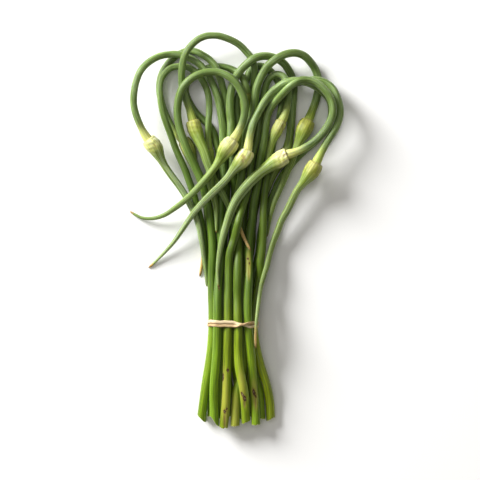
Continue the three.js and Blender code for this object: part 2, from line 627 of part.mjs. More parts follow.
// The band is narrower where it makes half a turn, on top of the bunch
function makeTie(scapes) {
  const shape = new THREE.Shape(tiedOutline(scapes, TIE_GAP + TIE_THICKNESS));
  shape.holes.push(new THREE.Path(tiedOutline(scapes, TIE_GAP)));
  const geometry = new THREE.ExtrudeGeometry(shape, { depth: TIE_WIDTH, bevelEnabled: false });
  geometry.translate(0, 0, -TIE_WIDTH / 2);
  geometry.rotateX(Math.PI / 2);
  const positions = geometry.attributes.position;
  geometry.computeBoundingBox();
  const middleHeight = (geometry.boundingBox.min.z + geometry.boundingBox.max.z) / 2;
  for (let index = 0; index < positions.count; index += 1) {
    const fromTwist = Math.abs(positions.getX(index) - TIE_TWIST_X);
    const nearTwist = 1 - THREE.MathUtils.smoothstep(fromTwist, 0, TIE_TWIST_HALF_LENGTH);
    if (positions.getZ(index) > middleHeight) {
      positions.setY(index, positions.getY(index) * (1 - TIE_TWIST_PINCH * nearTwist));
    }
    positions.setZ(index, Math.max(0, positions.getZ(index)));
  }
  geometry.translate(0, TIE_Y, 0);
  const closed = closeBody(geometry);
  closed.computeVertexNormals();
  const material = new THREE.MeshStandardMaterial({
    color: TIE_COLOUR,
    roughness: TIE_ROUGHNESS,
    metalness: 0,
  });
  const mesh = new THREE.Mesh(closed, material);
  mesh.name = 'tie_band';
  return mesh;
}

SCAPES.forEach(sampleRoute);
easeApart(SCAPES);

const group = new THREE.Group();
for (const scape of SCAPES) {
  group.add(makeScape(scape));
}
group.add(makeTie(SCAPES));

// The origin is under the middle of the bunch, on the table
const box = new THREE.Box3().setFromObject(group);
const centre = box.getCenter(new THREE.Vector3());
group.position.set(-centre.x, -centre.y, -box.min.z);

export default group;
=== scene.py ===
# %% [markdown]
# # A tied bunch of garlic scapes
#
# Garlic scapes are the flower stems of garlic. Each one is a long green stem that curls over in
# a loop, swells into a pale flower bulb and ends in a long thin beak. Thirteen of them lie here
# in a bunch, held by a flat band. The solids already say where every scape runs, so this lesson
# is about giving them skin, wrinkles, colour and light.

# %% Load the solids
import math

import bpy
import numpy as np
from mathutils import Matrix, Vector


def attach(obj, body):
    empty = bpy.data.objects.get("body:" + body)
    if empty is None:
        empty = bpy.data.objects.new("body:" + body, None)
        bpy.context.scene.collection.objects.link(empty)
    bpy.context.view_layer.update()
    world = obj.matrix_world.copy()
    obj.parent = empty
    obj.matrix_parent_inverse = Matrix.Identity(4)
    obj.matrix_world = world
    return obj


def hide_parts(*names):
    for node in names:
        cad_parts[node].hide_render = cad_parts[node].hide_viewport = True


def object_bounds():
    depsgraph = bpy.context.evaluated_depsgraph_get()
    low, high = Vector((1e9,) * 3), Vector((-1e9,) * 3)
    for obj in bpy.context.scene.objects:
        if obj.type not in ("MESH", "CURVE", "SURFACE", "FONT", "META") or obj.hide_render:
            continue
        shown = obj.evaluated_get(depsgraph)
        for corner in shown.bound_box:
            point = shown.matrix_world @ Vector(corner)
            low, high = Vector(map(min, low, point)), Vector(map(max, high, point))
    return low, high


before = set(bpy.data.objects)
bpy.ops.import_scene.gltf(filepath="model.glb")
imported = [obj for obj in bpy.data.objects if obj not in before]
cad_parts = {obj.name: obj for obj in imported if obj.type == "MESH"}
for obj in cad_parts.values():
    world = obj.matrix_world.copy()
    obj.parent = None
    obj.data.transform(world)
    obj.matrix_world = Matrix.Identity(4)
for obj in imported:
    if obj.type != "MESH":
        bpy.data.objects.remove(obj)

# Lengths are in metres, and this turns them into millimetres where those read better
MM = 1000

cad_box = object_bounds()
scape_nodes = sorted(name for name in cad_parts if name.startswith("scape"))
print(len(scape_nodes), "scapes and the tie band inside", cad_box)

# %% [markdown]
# Blender's operators work on whatever is selected, so the first helpers choose exactly one
# piece, or exactly the edges, faces or points of it that the next operator should change.
# Reading and writing all the points of a mesh at once, as one array, keeps long scapes quick.

# %% Helpers that choose and read
def select_nothing():
    """Leave no object selected, so that the next operator touches none of them."""
    for other in bpy.context.selected_objects:
        other.select_set(False)


def only(piece):
    """Leave one object selected, and make it the active one."""
    select_nothing()
    piece.select_set(True)
    bpy.context.view_layer.objects.active = piece


def points_of(piece):
    """All the points of a mesh, one row each."""
    flat = np.empty(3 * len(piece.data.vertices))
    piece.data.vertices.foreach_get("co", flat)
    return flat.reshape(-1, 3)


def move_points(piece, points):
    """Write all the points of a mesh back."""
    piece.data.vertices.foreach_set("co", np.asarray(points, dtype=float).ravel())
    piece.data.update()


def ends_of_edges(piece):
    """The two point numbers of every edge."""
    flat = np.empty(2 * len(piece.data.edges), dtype=int)
    piece.data.edges.foreach_get("vertices", flat)
    return flat.reshape(-1, 2)


SELECT_MODES = {
    "vertices": (True, False, False),
    "edges": (False, True, False),
    "polygons": (False, False, True),
}


def edit_with(piece, kind, chosen, steps):
    """Run operators in edit mode on the chosen points, edges or faces alone."""
    only(piece)
    bpy.context.tool_settings.mesh_select_mode = SELECT_MODES[kind]
    for every in SELECT_MODES:
        elements = getattr(piece.data, every)
        wanted = chosen if every == kind else np.zeros(len(elements), dtype=bool)
        elements.foreach_set("select", wanted.astype(bool))
    bpy.ops.object.mode_set(mode="EDIT")
    steps()
    bpy.ops.object.mode_set(mode="OBJECT")


def all_points(piece):
    return np.ones(len(piece.data.vertices), dtype=bool)


# %% [markdown]
# Scapes and band are both bent along lines, so two helpers measure a line of points: how far
# along it each point lies, and where the line is at any distance.

# %% Helpers that measure a line
def distances_along(line):
    """How far along a line each of its points lies."""
    steps = np.linalg.norm(np.diff(line, axis=0), axis=1)
    return np.concatenate([[0], np.cumsum(steps)])


def places_on(line, distances, at):
    """Where a line is at the wanted distances."""
    return np.stack([np.interp(at, distances, column) for column in line.T], axis=1)


# %% [markdown]
# ## Where each scape runs
#
# Every solid scape is a chain of eight-sided rings, from a point in the middle of the cut face
# to a point at the beak's tip. The solid itself must not change, so a copy of it is merged, and
# its rings are walked from one end to the other. The middle of each ring is a place on the
# scape's route, and its size is the scape's thickness there. The knife went through some stems
# at a slant, so the corners of the cut face also say how far one side of it lies ahead.

# %% Walk the rings
RING_SIDES = 8
MERGE_DISTANCE = 1e-6
UP = np.array([0.0, 0.0, 1.0])


def merged_copy(node):
    """The points of a solid with its doubles merged, and each point's neighbours."""
    copy = bpy.data.objects.new(node + "_copy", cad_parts[node].data.copy())
    bpy.context.collection.objects.link(copy)
    edit_with(copy, "vertices", all_points(copy),
              lambda: bpy.ops.mesh.remove_doubles(threshold=MERGE_DISTANCE))
    points = points_of(copy)
    near = [set() for _ in points]
    for one, other in ends_of_edges(copy):
        near[one].add(other)
        near[other].add(one)
    bpy.data.objects.remove(copy)
    return points, near


def read_rings(node):
    """The middles and radii of a solid's rings, from the cut to the tip, and the cut's slant."""
    points, near = merged_copy(node)

    def ring_size(pole):
        ring = points[list(near[pole])]
        return np.linalg.norm(ring - points[pole], axis=1).mean()

    poles = [index for index, others in enumerate(near) if len(others) == RING_SIDES]
    ring = {max(poles, key=ring_size)}
    walked = set()
    rings = []
    while ring:
        rings.append(points[sorted(ring)])
        walked |= ring
        ring = set().union(*[near[index] for index in ring]) - walked
    # The first ring lies in the cut face, so it is no step along the route
    face = rings.pop(1)
    middles = np.array([corners.mean(axis=0) for corners in rings])
    forward = np.gradient(middles, axis=0)
    forward /= np.linalg.norm(forward, axis=1)[:, None]
    radii = []
    for corners, center, ahead in zip(rings, middles, forward):
        arms = corners - center
        arms = arms - np.outer(arms @ ahead, ahead)
        radii.append(np.linalg.norm(arms, axis=1).max())
    radii[0] = radii[1]
    sideways = np.cross(UP, forward[1])
    arms = face - middles[0]
    slant = (arms @ forward[1]) @ (arms @ sideways) / ((arms @ sideways) @ (arms @ sideways))
    return middles, np.array(radii), slant


# %% [markdown]
# A few rings are too coarse for a soft bend. A smooth cubic through them gives as many places
# as needed. For the thickness the cubic is held back, so that it never overshoots a ring.

# %% A smooth line through measured places
def smooth_through(knots, values, at, level=False):
    """A cubic through values at knots. With level on, it keeps between neighbouring values."""
    values = np.asarray(values, dtype=float)
    steps = np.diff(knots)
    steps = steps if values.ndim == 1 else steps[:, None]
    slopes = np.diff(values, axis=0) / steps
    tangents = np.empty_like(values)
    tangents[0] = slopes[0]
    tangents[-1] = slopes[-1]
    weighted = steps[1:] * slopes[:-1] + steps[:-1] * slopes[1:]
    tangents[1:-1] = weighted / (steps[:-1] + steps[1:])
    if level:
        turning = slopes[:-1] * slopes[1:] <= 0
        limit = 3 * np.minimum(abs(slopes[:-1]), abs(slopes[1:]))
        tangents[1:-1] = np.where(turning, 0, np.clip(tangents[1:-1], -limit, limit))
    index = np.clip(np.searchsorted(knots, at, side="right") - 1, 0, len(knots) - 2)
    length = np.diff(knots)[index]
    share = (at - np.asarray(knots)[index]) / length
    if values.ndim > 1:
        share, length = share[:, None], length[:, None]
    start, end = values[index], values[index + 1]
    leave, arrive = tangents[index] * length, tangents[index + 1] * length
    square, cube = share ** 2, share ** 3
    return (start * (2 * cube - 3 * square + 1) + leave * (cube - 2 * square + share)
            + end * (3 * square - 2 * cube) + arrive * (cube - square))


# %% [markdown]
# The cubic's own steps are not all equally long, so it is drawn very finely first and then
# measured off in even steps. The neck, where the stem meets the bulb, is a ring of the solid a
# few rings before its widest one.

# %% Measure every scape
FINE_STEP = 0.0002
ROUTE_STEP = 0.0015
RINGS_FROM_NECK_TO_WIDEST = 4


def measure_route(node):
    """A scape's route as evenly spaced points, with its thickness and where its neck is."""
    middles, radii, slant = read_rings(node)
    knots = distances_along(middles)
    fine = np.arange(0, knots[-1], FINE_STEP)
    line = smooth_through(knots, middles, fine)
    walked = distances_along(line)
    ring_at = np.interp(knots, fine, walked)
    length = walked[-1]
    even = np.linspace(0, length, round(length / ROUTE_STEP) + 1)
    widest = int(radii.argmax())
    return {"route": places_on(line, walked, even), "length": length,
            "neck": ring_at[widest - RINGS_FROM_NECK_TO_WIDEST], "ring_at": ring_at,
            "radii": radii, "bulb": radii[widest], "slant": slant}


routes = {node: measure_route(node) for node in scape_nodes}
for node, found in routes.items():
    print(f"{node}: {found['length'] * MM:.0f} mm long, neck at {found['neck'] * MM:.0f} mm,"
          f" bulb {found['bulb'] * 2 * MM:.1f} mm wide")

# %% [markdown]
# ## One straight scape
#
# All scapes are the same plant, so one straight piece of scape is modelled once, and every
# scape is a copy of it. It starts as a cylinder lying along X. Its long edges are cut into
# hundreds of rings, because a bend needs rings to bend at: each edge into 20, and each of
# those into 20 again.

# %% Start from a cylinder and cut it into rings
RIBS = 32
STOCK_LENGTH = 0.5
STOCK_RADIUS = 0.0036
CUTS = (19, 19)

select_nothing()
bpy.ops.mesh.primitive_cylinder_add(
    vertices=RIBS, radius=STOCK_RADIUS, depth=STOCK_LENGTH,
    location=(STOCK_LENGTH / 2, 0, 0), rotation=(0, math.pi / 2, 0))
stock = bpy.context.active_object
stock.name = "straight_scape"
bpy.ops.object.transform_apply(location=True, rotation=True, scale=True)

for cuts in CUTS:
    points = points_of(stock)
    ends = ends_of_edges(stock)
    run = abs(points[ends[:, 0], 0] - points[ends[:, 1], 0])
    edit_with(stock, "edges", run > ROUTE_STEP / 2,
              lambda: bpy.ops.mesh.subdivide(number_cuts=cuts))
print("straight scape:", len(stock.data.vertices), "points")

# %% [markdown]
# The papery skin that wraps the flower bulb and the beak has lengthwise furrows. They are made
# by pressing a few rows of points towards the middle, several times over shorter and shorter
# stretches, so that they fade in and out. A little smoothing takes the edge off them.

# %% Press the furrows
# The stock's share that becomes the bulb, and the rows of points that are pressed
BULB_FROM = 0.55
BULB_TO = 0.72
FURROWS = (1, 6, 8, 15, 19, 26)
# From which share of the length, to which, and to what part of the radius
PRESSES = ((0.572, 0.97, 0.982), (0.6, 0.9, 0.972), (0.64, 0.8, 0.98))
SOFTENING = 0.3

points = points_of(stock)
row = np.round(np.arctan2(points[:, 2], points[:, 1]) * RIBS / (2 * math.pi))
row = row.astype(int) % RIBS
share = points[:, 0] / STOCK_LENGTH
for first, last, press in PRESSES:
    chosen = np.isin(row, FURROWS) & (share > first) & (share < last)
    edit_with(stock, "vertices", chosen, lambda: bpy.ops.transform.resize(
        value=(1, press, press), center_override=(0, 0, 0)))
edit_with(stock, "vertices", (share > PRESSES[0][0]) & (share < PRESSES[0][1]),
          lambda: bpy.ops.mesh.vertices_smooth(factor=SOFTENING, repeat=1, xaxis=False))
print("furrows:", len(FURROWS))

# %% [markdown]
# The cut face is a flat circle at first. A bevel takes its sharp rim off, two insets draw the
# ring of the tougher rind, and the soft pith inside sinks a little and rises again in the
# middle, as it does when a cut stem dries.

# %% Finish the cut face
CUT_BEVEL = 0.0003
RIND_WIDTH = 0.0007
PITH_DEPTH = 0.00025

points = points_of(stock)
ends = ends_of_edges(stock)
at_cut = (points[:, 0] < MERGE_DISTANCE)[ends].all(axis=1)
edit_with(stock, "edges", at_cut, lambda: bpy.ops.mesh.bevel(offset=CUT_BEVEL, segments=2))
sizes = np.array([len(face.vertices) for face in stock.data.polygons])
middles = np.array([face.center.x for face in stock.data.polygons])


def sink_the_pith():
    bpy.ops.mesh.inset(thickness=RIND_WIDTH)
    bpy.ops.mesh.inset(thickness=RIND_WIDTH / 3)
    bpy.ops.transform.translate(value=(PITH_DEPTH, 0, 0))
    bpy.ops.mesh.inset(thickness=RIND_WIDTH)
    bpy.ops.transform.translate(value=(-PITH_DEPTH / 3, 0, 0))


edit_with(stock, "polygons", (sizes == RIBS) & (middles < STOCK_LENGTH / 2), sink_the_pith)
print("straight scape with its cut face:", len(stock.data.polygons), "faces")

# %% [markdown]
# ## Stretch a copy to its own size
#
# A copy first gets its own length and thickness while it is still straight, where this is a
# matter of two simple lists. The stem flares a little just before the neck. The bulb has a
# steep round shoulder that hangs a little over the neck, as the real wrapper does, and then
# thins slowly into the beak.

# %% The bulb's outline
# Millimetres past the neck, and the share of the way from thin to the bulb's widest
SHOULDER = (
    (0.4, 0.05), (0.2, 0.2), (0.0, 0.38), (0.2, 0.55), (0.9, 0.71), (2.2, 0.86),
    (4.2, 0.96), (6.6, 1.0),
)
TAPER = ((10.0, 0.9), (13.0, 0.68), (16.0, 0.42), (20.0, 0.16), (25.0, 0.0))
TIP_RADIUS = 0.0002
NECK_FLARE = 0.2
FLARE_LENGTH = 0.012
OUTLINE_STEPS = 2000


def smooth_step(values, start, end):
    """From 0 to 1 as the values go from start to end, softly."""
    share = np.clip((values - start) / (end - start), 0, 1)
    return share * share * (3 - 2 * share)


def outline_of(found):
    """Distance and radius of the straight scape, for every share of the stock's length."""
    neck = found["neck"]
    stem = np.linspace(0, neck, OUTLINE_STEPS)
    stem_radius = smooth_through(found["ring_at"], found["radii"], stem, level=True)
    stem_radius *= 1 + NECK_FLARE * smooth_step(stem, neck - FLARE_LENGTH, neck)
    collar = stem_radius[-1]
    bulb_end = neck + TAPER[-1][0] / MM
    beak_start = np.interp(bulb_end, found["ring_at"], found["radii"])
    corners = [(neck, collar)]
    for rows, thin in ((SHOULDER, collar), (TAPER, beak_start)):
        for past, part in rows:
            corners.append((neck + past / MM, thin + part * (found["bulb"] - thin)))
    corners = np.array(corners)
    knots = distances_along(corners)
    bulb = smooth_through(knots, corners, np.linspace(0, knots[-1], OUTLINE_STEPS))
    beak = np.linspace(bulb_end, found["length"], OUTLINE_STEPS)
    radii = found["radii"].copy()
    radii[-1] = TIP_RADIUS
    beak_radius = smooth_through(found["ring_at"], radii, beak, level=True)
    shares = np.concatenate([np.linspace(0, BULB_FROM, OUTLINE_STEPS),
                             np.linspace(BULB_FROM, BULB_TO, OUTLINE_STEPS),
                             np.linspace(BULB_TO, 1, OUTLINE_STEPS)])
    return (shares, np.concatenate([stem, bulb[:, 0], beak]),
            np.concatenate([stem_radius, bulb[:, 1], beak_radius]))


# %% [markdown]
# No flower bulb is quite round. Each one bulges towards one side, is pinched in three places
# and has low lumps where the buds inside press outwards. Two waves that cross make the lumps.
# The angle runs round the scape, and the turn makes each scape's pattern its own.

# %% A lopsided, lumpy bulb
# Millimetres past the neck where the relief comes in and where it goes out
RELIEF_IN = (-1.5, 2)
RELIEF_OUT = (6, 26)
LOBE_LEVEL = 0.6
PINCHES = 3
PINCH_SIZE = 0.018
LUMP_SIZE = 0.03
# Times round the bulb, and radians for each millimetre along it
LUMPS_ONE_WAY = (5, 0.5)
LUMPS_OTHER_WAY = (-2, 0.9)


def bulb_relief(past, angle, turn, lopsided):
    """How many times thicker than its outline the bulb is at each point."""
    size, toward = lopsided
    at_bulb = smooth_step(past, *RELIEF_IN) * (1 - smooth_step(past, *RELIEF_OUT))
    lobe = np.cos(angle - math.radians(toward))
    pinch = np.cos(PINCHES * angle + math.radians(turn))
    one_way = np.sin(LUMPS_ONE_WAY[0] * angle + LUMPS_ONE_WAY[1] * past + turn)
    other_way = np.cos(LUMPS_OTHER_WAY[0] * angle + LUMPS_OTHER_WAY[1] * past + turn)
    lumps = one_way * other_way
    return 1 + at_bulb * (size * (lobe - LOBE_LEVEL) + PINCH_SIZE * pinch + LUMP_SIZE * lumps)


# %% [markdown]
# Near the cut the points slide along the scape: by the knife's slant, less so at the rim, and
# by a ragged fringe of torn fibres, which is a sum of waves round the stem.

# %% A slanted, ragged cut
CUT_REACH = 0.008
CUT_ROUND = 0.3
# Waves round the stem, and how often the scape's own turn is added to each
FIBRES = ((3, 1), (7, 2), (12, 0))


def slide_at_cut(along, angle, sideways, radius, slant, ragged, turn):
    """How far the points near the cut slide along the scape."""
    near_cut = 1 - smooth_step(along, 0, CUT_REACH)
    fringe = sum(np.sin(waves * angle + ahead * turn) for waves, ahead in FIBRES)
    leaning = slant * sideways * radius * (1 - CUT_ROUND * sideways ** 2)
    return near_cut * (leaning + ragged / MM * abs(fringe))


# %% [markdown]
# What the material needs to know about each point is written down before the bend, in four
# attributes: how far along the scape it is, where it is around the scape, how this scape
# differs from the others, and how pale and waxy it is. A pattern that reads them follows the
# scape round every bend. A Curve modifier then lays the straight scape along its route.

# %% Write the attributes, and bend
def write_attribute(piece, name, columns):
    """Store three numbers for each point."""
    attribute = piece.data.attributes.new(name, "FLOAT_VECTOR", "POINT")
    attribute.data.foreach_set("vector", np.stack(columns, axis=1).astype(np.float32).ravel())


def bend_along(piece, route):
    """Lay a straight piece along a route with a Curve modifier."""
    curve = bpy.data.curves.new(piece.name + "_route", "CURVE")
    curve.dimensions = "3D"
    curve.twist_mode = "Z_UP"
    line = curve.splines.new("POLY")
    line.points.add(len(route) - 1)
    line.points.foreach_set("co", np.column_stack([route, np.ones(len(route))]).ravel())
    guide = bpy.data.objects.new(piece.name + "_route", curve)
    bpy.context.collection.objects.link(guide)
    only(piece)
    bend = piece.modifiers.new("bend", "CURVE")
    bend.object = guide
    bend.deform_axis = "POS_X"
    bpy.ops.object.modifier_apply(modifier=bend.name)
    bpy.data.objects.remove(guide)


def make_scape(node, turn, lopsided, ragged, habit, pale, waxy):
    """One scape: a copy of the straight one, stretched, marked, cut at a slant and bent."""
    found = routes[node]
    piece = bpy.data.objects.new(node.replace("scape", "skin"), stock.data.copy())
    bpy.context.collection.objects.link(piece)
    edit_with(piece, "vertices", all_points(piece), lambda: bpy.ops.transform.rotate(
        value=math.radians(turn), orient_axis="X", center_override=(0, 0, 0)))
    points = points_of(piece)
    shares, distances, radii = outline_of(found)
    along = np.interp(points[:, 0] / STOCK_LENGTH, shares, distances)
    radius = np.interp(points[:, 0] / STOCK_LENGTH, shares, radii)
    section = points[:, 1:] / STOCK_RADIUS
    angle = np.arctan2(section[:, 1], section[:, 0])
    past = (along - found["neck"]) * MM
    radius = radius * bulb_relief(past, angle, turn, lopsided)
    slid = along + slide_at_cut(along, angle, section[:, 0], radius, found["slant"], ragged, turn)
    move_points(piece, np.column_stack([slid, section * radius[:, None]]))
    same = np.ones(len(points))
    write_attribute(piece, "along", [along * MM, past, (found["length"] - along) * MM])
    write_attribute(piece, "around", [np.cos(angle), np.sin(angle), turn * same])
    write_attribute(piece, "habit", [value * same for value in habit])
    # An attribute holds three numbers, and the third is spare here
    write_attribute(piece, "age", [pale * same, waxy * same, 0 * same])
    bend_along(piece, found["route"])
    # A round section is a little fuller than the solid's flat sides, so the box holds it in
    move_points(piece, np.clip(points_of(piece), *cad_box))
    only(piece)
    bpy.ops.object.shade_smooth()
    return piece


# %% [markdown]
# The scapes differ in small ways that a cook would know: a bulb that has turned olive, a beak
# whose tip has dried, a stem that is more yellow, a ragged cut. Each row gives the turn about
# the scape's own length in degrees, the lobe's size and direction, and how ragged the cut is in
# millimetres. Then come how olive the bulb is, how many millimetres of the tip are dry and how
# yellow the stem is, and last how far the bulb has paled and how waxy the loop is.

# %% Make the thirteen scapes
HABITS = {
    "scape_left_front": (10, (0.05, 60), 0.15, (0.1, 4, 0.25), 1.0, 0.0),
    "scape_left_outer": (75, (0.06, 200), 0.2, (0.1, 1, 0.1), 1.0, 1.0),
    "scape_left_inner": (140, (0.04, 90), 0.2, (0.5, 26, 0.2), 0.3, 0.4),
    "scape_top_left": (205, (0.06, 120), 0.35, (0.85, 2, 0.35), 0.9, 0.5),
    "scape_left_back": (33, (0.04, 40), 0.2, (0.4, 24, 0.15), 0.8, 0.4),
    "scape_small_back": (290, (0.04, 10), 0.2, (0.9, 2, 0.3), 0.1, 0.4),
    "scape_middle_tall": (118, (0.04, 70), 0.2, (0.6, 2, 0.3), 0.2, 0.5),
    "scape_middle_small": (250, (0.06, 110), 0.6, (0.55, 2, 0.7), 0.9, 0.6),
    "scape_middle_back": (62, (0.04, 300), 0.3, (0.6, 2, 0.8), 0.0, 0.3),
    "scape_top_right": (170, (0.05, 50), 0.3, (1.0, 2, 0.6), 0.9, 0.4),
    "scape_middle_front": (320, (0.1, 30), 0.2, (0.05, 6, 0.2), 1.0, 1.0),
    "scape_right_front": (225, (0.1, 330), 0.3, (0.0, 1.5, 0.3), 1.0, 0.75),
    "scape_right_outer": (95, (0.07, 20), 0.2, (0.85, 20, 0.6), 1.0, 0.7),
}
scapes = {node: make_scape(node, *HABITS[node]) for node in scape_nodes}
bpy.data.objects.remove(stock)
for node, piece in scapes.items():
    print(piece.name, len(piece.data.polygons), "faces")

# %% [markdown]
# ## Scars, worn patches and creases
#
# Where leaves and knives have rubbed a stem, it heals with a small brown scar in a yellowed
# patch, and the papery wrapper of a bulb folds into pinkish creases. Each mark is given by the
# scape it is on and its place seen from above, and it marks the upper side of the scape only.
# An attribute holds the three kinds side by side, each fading from one in the middle to
# nothing at the rim. Scars and creases are also pressed into the surface a little.

# %% Mark the scapes
# Scape, kind, x and y in millimetres, half length, half width, and the turn from lengthwise
SCAR, PATCH, CREASE = range(3)
MARKS = (
    ("scape_middle_small", SCAR, -6.7, -111.2, 1.7, 1.1, 0),
    ("scape_middle_small", SCAR, -10.7, -116.7, 3.2, 0.8, -4),
    ("scape_middle_small", SCAR, -9.4, -144.4, 1.9, 1.1, 12),
    ("scape_middle_small", SCAR, -7.6, -142.6, 1.3, 0.8, -20),
    ("scape_middle_small", PATCH, -9.4, -133.0, 26.0, 3.2, 2),
    ("scape_middle_small", CREASE, -9.3, -151.5, 6.0, 1.0, 0),
    ("scape_top_right", SCAR, 4.6, -130.2, 2.4, 1.0, 30),
    ("scape_top_right", SCAR, 6.5, -133.7, 3.0, 1.4, 14),
    ("scape_top_right", PATCH, 4.6, -124.0, 15.0, 2.6, 6),
    ("scape_top_right", CREASE, 6.6, -139.0, 3.0, 1.0, 0),
    ("scape_right_front", SCAR, 14.0, -128.9, 3.0, 1.2, 8),
    ("scape_right_front", SCAR, 15.6, -132.3, 1.8, 0.7, -10),
    ("scape_right_front", PATCH, 14.6, -130.5, 13.0, 2.6, 4),
    ("scape_right_front", CREASE, 15.4, -137.5, 6.0, 0.8, 4),
    ("scape_right_front", SCAR, 9.2, -22.3, 1.3, 0.9, 0),
    ("scape_right_front", SCAR, 10.4, -26.3, 1.1, 0.8, 0),
    ("scape_right_front", CREASE, 10.2, -34.7, 5.5, 0.5, 3),
    ("scape_right_front", PATCH, 9.6, -27.0, 12.0, 2.2, 0),
    ("scape_middle_back", CREASE, 20.4, -124.5, 3.6, 0.9, 10),
    ("scape_left_outer", SCAR, -14.0, -40.3, 1.6, 0.6, 0),
    ("scape_left_outer", SCAR, -13.8, -45.0, 2.2, 0.6, 0),
    ("scape_top_left", PATCH, -1.2, -147.0, 20.0, 4.0, 0),
    ("scape_middle_front", CREASE, 5.8, 58.6, 2.6, 1.7, 35),
    ("scape_middle_front", CREASE, 5.2, 55.4, 2.2, 1.0, 20),
    ("scape_right_front", CREASE, 35.6, 61.4, 4.6, 1.1, -22),
    ("scape_right_front", CREASE, 38.4, 60.2, 2.4, 0.9, -50),
    ("scape_right_front", CREASE, 32.8, 66.4, 2.0, 1.1, 60),
    ("scape_left_back", CREASE, -45.0, 64.0, 4.5, 0.6, 8),
    ("scape_middle_small", CREASE, 37.3, 81.5, 4.0, 0.7, 0),
    ("scape_left_outer", CREASE, -65.0, 68.5, 2.5, 0.5, 30),
)
# How deep each kind is pressed, in metres, and at how many half lengths a mark has faded
PRESS_DEPTHS = (0.00025, 0.0, 0.0006)
MARK_REACH = 1.4


def strength_of(mark, points, normals):
    """How strong a mark is at each point, from one in its middle to nothing at its rim."""
    x, y, half_length, half_width, turn = mark
    cosine, sine = math.cos(math.radians(turn)), math.sin(math.radians(turn))
    east = points[:, 0] * MM - x
    north = points[:, 1] * MM - y
    along = (north * cosine - east * sine) / half_length
    across = (east * cosine + north * sine) / half_width
    return np.clip(MARK_REACH - np.hypot(along, across), 0, 1) * (normals[:, 2] > 0)


for node, piece in scapes.items():
    points = points_of(piece)
    normals = np.array([vertex.normal for vertex in piece.data.vertices])
    marked = np.zeros((len(PRESS_DEPTHS), len(points)))
    for owner, kind, *mark in MARKS:
        if owner == node:
            marked[kind] = np.maximum(marked[kind], strength_of(mark, points, normals))
    write_attribute(piece, "marked", marked)
    depth = sum(part * strength for part, strength in zip(PRESS_DEPTHS, marked))
    move_points(piece, points - normals * depth[:, None])
print(len(MARKS), "scars, patches and creases")

# %% [markdown]
# ## The band
#
# The band is a flat strip that goes once round the stems, with half a turn in it on top. Its
# path is the outline of the solid band seen from the cut ends: the corners of that outline,
# measured off evenly, rounded, and drawn in so that the strip's thickness stays inside the
# solid.

# %% The path round the stems
BAND_WIDTH = 0.0052
BAND_THICKNESS = 0.0009
BAND_INSET = 0.0011
OUTLINE_DECIMALS = 6
PATH_POINTS = 400
PATH_ROUNDINGS = 6


def hull(points):
    """The corners of the outline of flat points, anticlockwise."""
    ordered = sorted(map(tuple, points))
    chains = []
    for line in (ordered, ordered[::-1]):
        chain = []
        for point in line:
            while len(chain) > 1:
                (ax, ay), (bx, by) = chain[-2], chain[-1]
                if (bx - ax) * (point[1] - ay) - (by - ay) * (point[0] - ax) > 0:
                    break
                chain.pop()
            chain.append(point)
        chains.append(chain[:-1])
    return np.array(chains[0] + chains[1])


band_points = points_of(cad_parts["tie_band"])
band_y = (band_points[:, 1].min() + band_points[:, 1].max()) / 2
outer = hull(np.round(band_points[:, [0, 2]], OUTLINE_DECIMALS))
middle = outer.mean(axis=0)
closed = np.vstack([outer, outer[:1]])
walked = distances_along(closed)
ring = places_on(closed, walked, np.linspace(0, walked[-1], PATH_POINTS)[:-1])
for _ in range(PATH_ROUNDINGS):
    ring = (np.roll(ring, 1, axis=0) + 2 * ring + np.roll(ring, -1, axis=0)) / 4
tangent = np.roll(ring, -1, axis=0) - np.roll(ring, 1, axis=0)
tangent /= np.linalg.norm(tangent, axis=1)[:, None]
ring = ring + np.column_stack([-tangent[:, 1], tangent[:, 0]]) * BAND_INSET
# The strip's two ends meet underneath, below the middle of the bunch
start = int(np.argmin(ring[:, 1] + abs(ring[:, 0] - middle[0])))
ring = np.roll(ring, -start, axis=0)
ring = np.vstack([ring, ring[:1]])
walked = distances_along(ring)
band_length = walked[-1]
print(f"the band is {band_length * MM:.0f} mm round")

# %% [markdown]
# The strip is modelled flat, as a grid with the band's length and width, and a Solidify
# modifier gives it its thickness.

# %% Model the strip
BAND_COLUMNS = 260
BAND_ROWS = 16

select_nothing()
bpy.ops.mesh.primitive_grid_add(x_subdivisions=BAND_COLUMNS, y_subdivisions=BAND_ROWS, size=1)
band = bpy.context.active_object
band.name = "band"
band.dimensions = (band_length, BAND_WIDTH, 0)
band.location = (band_length / 2, 0, 0)
bpy.ops.object.transform_apply(location=True, rotation=True, scale=True)
thicken = band.modifiers.new("thickness", "SOLIDIFY")
thicken.thickness = BAND_THICKNESS
thicken.offset = 0
bpy.ops.object.modifier_apply(modifier=thicken.name)
print("strip:", len(band.data.vertices), "points")

# %% [markdown]
# The real band is two strands side by side, so a crease runs along it, which drifts from one
# side of the middle to the other across the twist. At the twist the strip turns over, and is
# narrower and thicker and stands a little off the stems. The attribute marks the crease for the
# material, which paints shade into it. It marks one spot more strongly, where the material paints
# the shade of a curl in the band. The strip's edges are thin, and they waver.

# %% Crease and twist it
TWIST_X = 0.0044
TWIST_HALF_LENGTH = 0.0075
TWIST_THICKENING = 1.3
TWIST_NARROWING = 0.42
TWIST_LIFT = 0.0007
CREASE_LEAN = 0.1
CREASE_LEAN_LENGTH = 0.03
CREASE_WIDTH = 0.27
CREASE_DEPTH = 0.0004
CURL_FROM_TWIST = 0.025
CURL_SHADE_STRENGTH = 1.4
CURL_LENGTH = 0.002
CURL_WIDTH = 0.5
EDGE_THINNING = 0.55
EDGE_POWER = 6
# Height, radians for each metre and start of the waves in the edges
WAVERING = ((0.00016, 420, 0), (0.0001, 910, 1))

